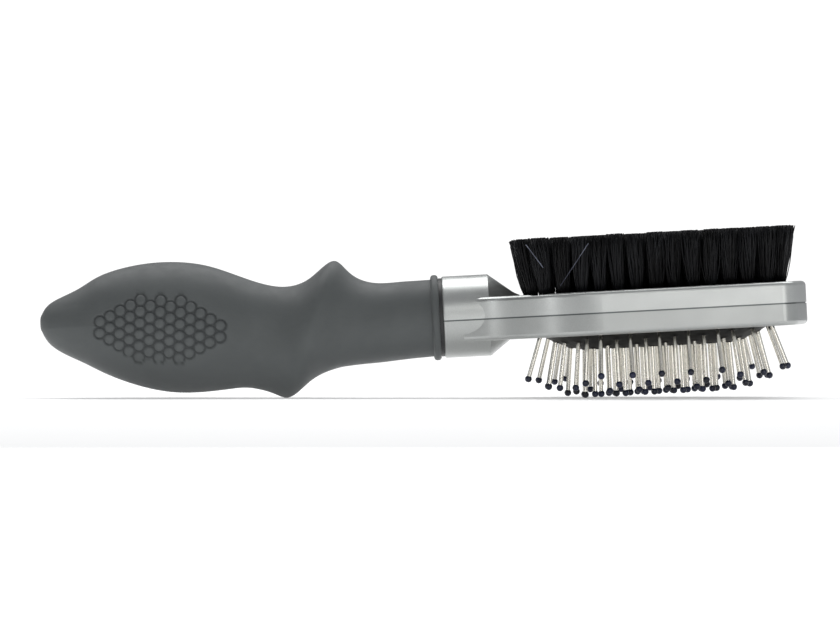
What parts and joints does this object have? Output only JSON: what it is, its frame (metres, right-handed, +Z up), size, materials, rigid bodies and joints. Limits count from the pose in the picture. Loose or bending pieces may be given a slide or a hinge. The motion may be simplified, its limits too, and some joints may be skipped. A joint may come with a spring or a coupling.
{
  "type": "two-sided pet grooming brush",
  "caption": "Pet brush with a soft waisted handle, a silver two-shell head, black nylon tufts on one face and ball-tipped steel pins in a rubber air cushion on the other.",
  "frame": {"origin": "centre of the bounding box on the surface that the brush rests on, pins down", "axes": "+X from the handle's tail towards the head, +Z up, bristles on top; the brush lies on its pin tips and finger guard, so the head end stands up 3 degrees"},
  "size_m": [0.235, 0.06, 0.052],
  "materials": {
    "grip_rubber": "matte soft-touch moulding",
    "core_plastic": "plain moulding",
    "silver_shell": "silver metallic paint on moulded plastic",
    "black_plate": "fine spark texture",
    "nylon_bristle": "drawn nylon filament",
    "cushion_rubber": "matte rubber",
    "pin_steel": "bright polished wire",
    "tip_plastic": "moulded ball, slightly glossy",
    "screw_steel": "zinc plated",
    "staple_wire": "drawn wire"
  },
  "bodies": {
    "root": {"grip_sleeve": "grip_rubber", "handle_core": "core_plastic", "upper_head_shell": "silver_shell", "lower_head_shell": "silver_shell", "bristle_plate": "black_plate", "cushion_pad": "cushion_rubber", "shell_screws": "screw_steel", "tuft_staples": "staple_wire", "bristle_tufts_ring_1": "nylon_bristle", "bristle_tufts_ring_2": "nylon_bristle", "bristle_tufts_ring_3": "nylon_bristle", "bristle_tufts_ring_4": "nylon_bristle", "bristle_tufts_ring_5": "nylon_bristle"},
    "pin_ring_1": {"pins_ring_1": "pin_steel", "pin_tips_ring_1": "tip_plastic"},
    "pin_ring_2": {"pins_ring_2": "pin_steel", "pin_tips_ring_2": "tip_plastic"},
    "pin_ring_3": {"pins_ring_3": "pin_steel", "pin_tips_ring_3": "tip_plastic"},
    "pin_ring_4": {"pins_ring_4": "pin_steel", "pin_tips_ring_4": "tip_plastic"},
    "pin_ring_5": {"pins_ring_5": "pin_steel", "pin_tips_ring_5": "tip_plastic"}
  },
  "joints": [
    {"name": "pin_ring_1_press", "type": "slide", "parent": "root", "child": "pin_ring_1", "axis": [-0.0518, 0, 0.9987], "range_m": [0, 0.0019], "stiffness_N_per_m": 1500, "deforming": ["cushion_pad"]},
    {"name": "pin_ring_2_press", "type": "slide", "parent": "root", "child": "pin_ring_2", "axis": [-0.0518, 0, 0.9987], "range_m": [0, 0.0019], "stiffness_N_per_m": 1500},
    {"name": "pin_ring_3_press", "type": "slide", "parent": "root", "child": "pin_ring_3", "axis": [-0.0518, 0, 0.9987], "range_m": [0, 0.00171], "stiffness_N_per_m": 1500},
    {"name": "pin_ring_4_press", "type": "slide", "parent": "root", "child": "pin_ring_4", "axis": [-0.0518, 0, 0.9987], "range_m": [0, 0.00129], "stiffness_N_per_m": 1500},
    {"name": "pin_ring_5_press", "type": "slide", "parent": "root", "child": "pin_ring_5", "axis": [-0.0518, 0, 0.9987], "range_m": [0, 0.000732], "stiffness_N_per_m": 1500}
  ],
  "couplings": [
    {"joint": "pin_ring_2_press", "follows": "pin_ring_1_press", "ratio": 0.99875},
    {"joint": "pin_ring_3_press", "follows": "pin_ring_1_press", "ratio": 0.89937},
    {"joint": "pin_ring_4_press", "follows": "pin_ring_1_press", "ratio": 0.67908},
    {"joint": "pin_ring_5_press", "follows": "pin_ring_1_press", "ratio": 0.38445}
  ]
}
